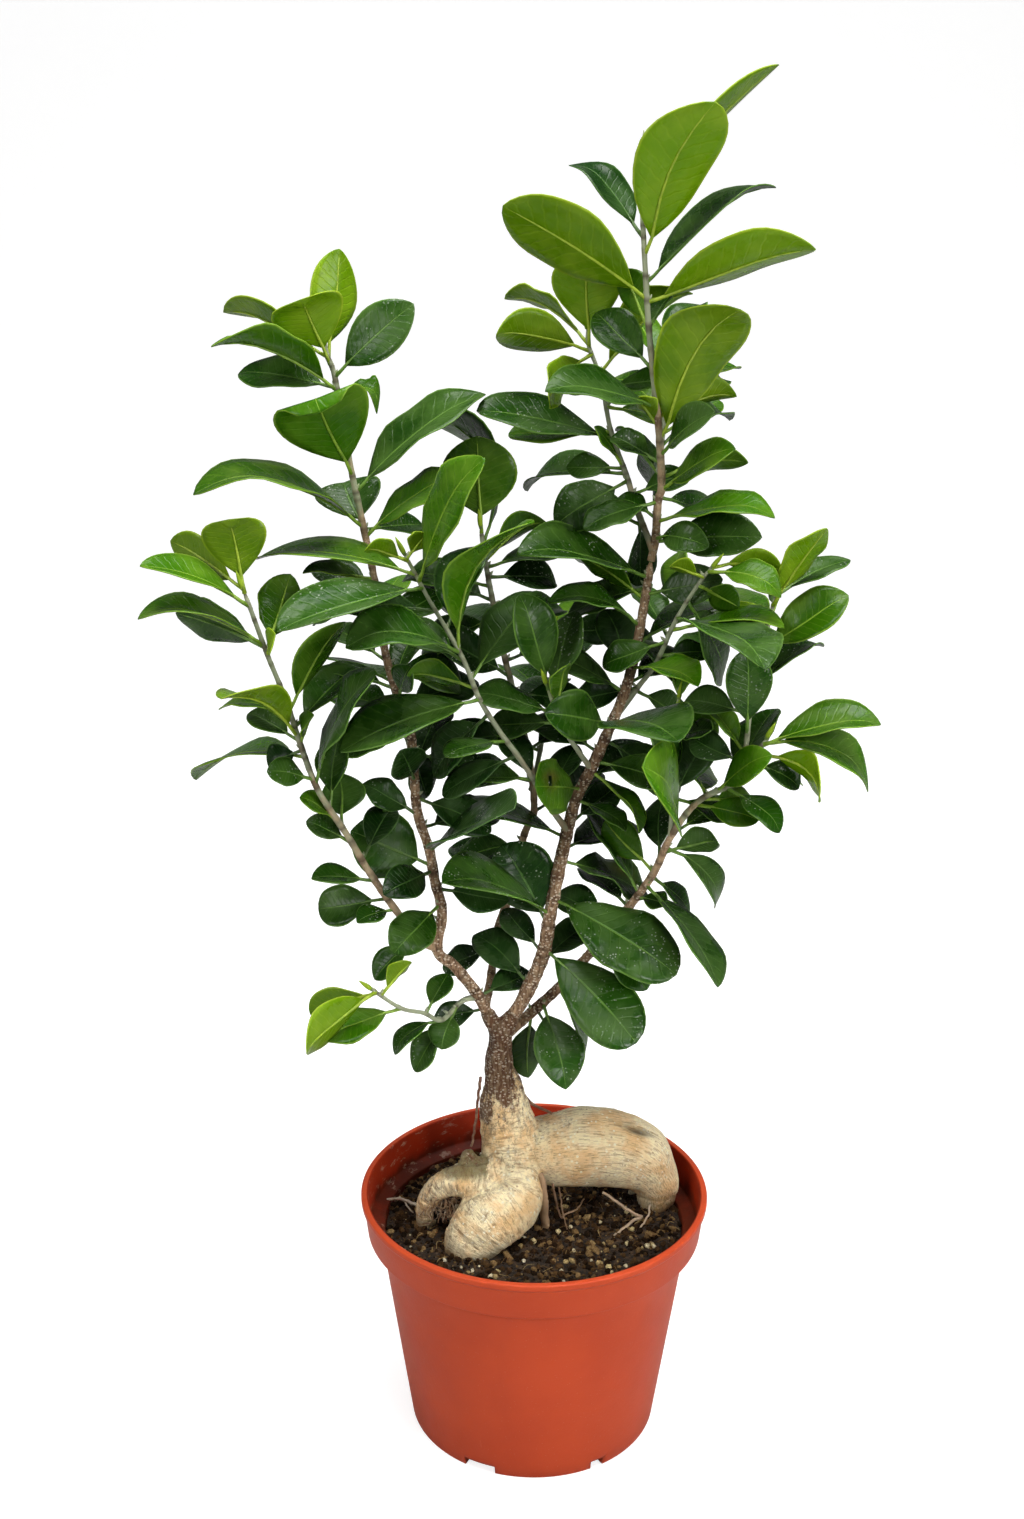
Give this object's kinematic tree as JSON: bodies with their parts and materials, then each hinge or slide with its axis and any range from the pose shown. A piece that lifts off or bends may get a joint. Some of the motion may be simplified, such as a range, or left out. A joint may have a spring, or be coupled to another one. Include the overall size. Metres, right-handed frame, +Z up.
{
  "type": "potted ficus bonsai",
  "caption": "Young ginseng ficus with swollen surface roots, rising leafy shoots and a stepped-rim grower's pot filled with potting mix, standing freely on its flat base",
  "frame": {"origin": "centre of the pot's flat underside, on the surface that the pot stands on", "axes": "+Z up along the pot's axis; the front side, which shows the leaning trunk and the two main surface roots, faces -Y; +X is to the right of that side"},
  "size_m": [0.2776, 0.171, 0.565],
  "materials": {
    "terracotta_plastic": "smooth satin moulded plastic in a terracotta colour",
    "potting_mix": null,
    "root_skin": "smooth pale tan root skin with cross wrinkles, browner and rougher up the trunk",
    "branch_bark": "brown bark with pale raised pores",
    "leaf_dark": null,
    "leaf_green": "glossy mid green leaf",
    "leaf_young": "soft glossy yellow-green new leaf"
  },
  "bodies": {
    "root": {"back_centre": "leaf_dark", "back_left": "leaf_dark", "back_right": "leaf_dark", "back_top": "leaf_dark", "centre_twig": "leaf_dark", "crossing_1": "leaf_dark", "crossing_2": "leaf_dark", "far_left_1": "leaf_dark", "far_left_2": "leaf_dark", "far_left_3": "leaf_dark", "far_left_4": "leaf_green", "inner": "leaf_dark", "left_1": "branch_bark", "left_2": "leaf_dark", "left_3": "leaf_dark", "left_4": "leaf_dark", "left_5": "leaf_green", "low_left": "leaf_dark", "low_right_1": "branch_bark", "low_right_2": "leaf_dark", "low_right_3": "leaf_green", "middle_1": "leaf_dark", "middle_2": "leaf_dark", "pot": "terracotta_plastic", "right_1": "branch_bark", "right_2": "leaf_dark", "right_3": "leaf_dark", "right_shoot": "leaf_dark", "right_thin": "leaf_dark", "rootstock": "root_skin", "soil": "potting_mix", "top_left_1": "leaf_dark", "top_left_2": "leaf_young", "top_right_1": "leaf_dark", "top_right_2": "leaf_green"}
  },
  "joints": []
}
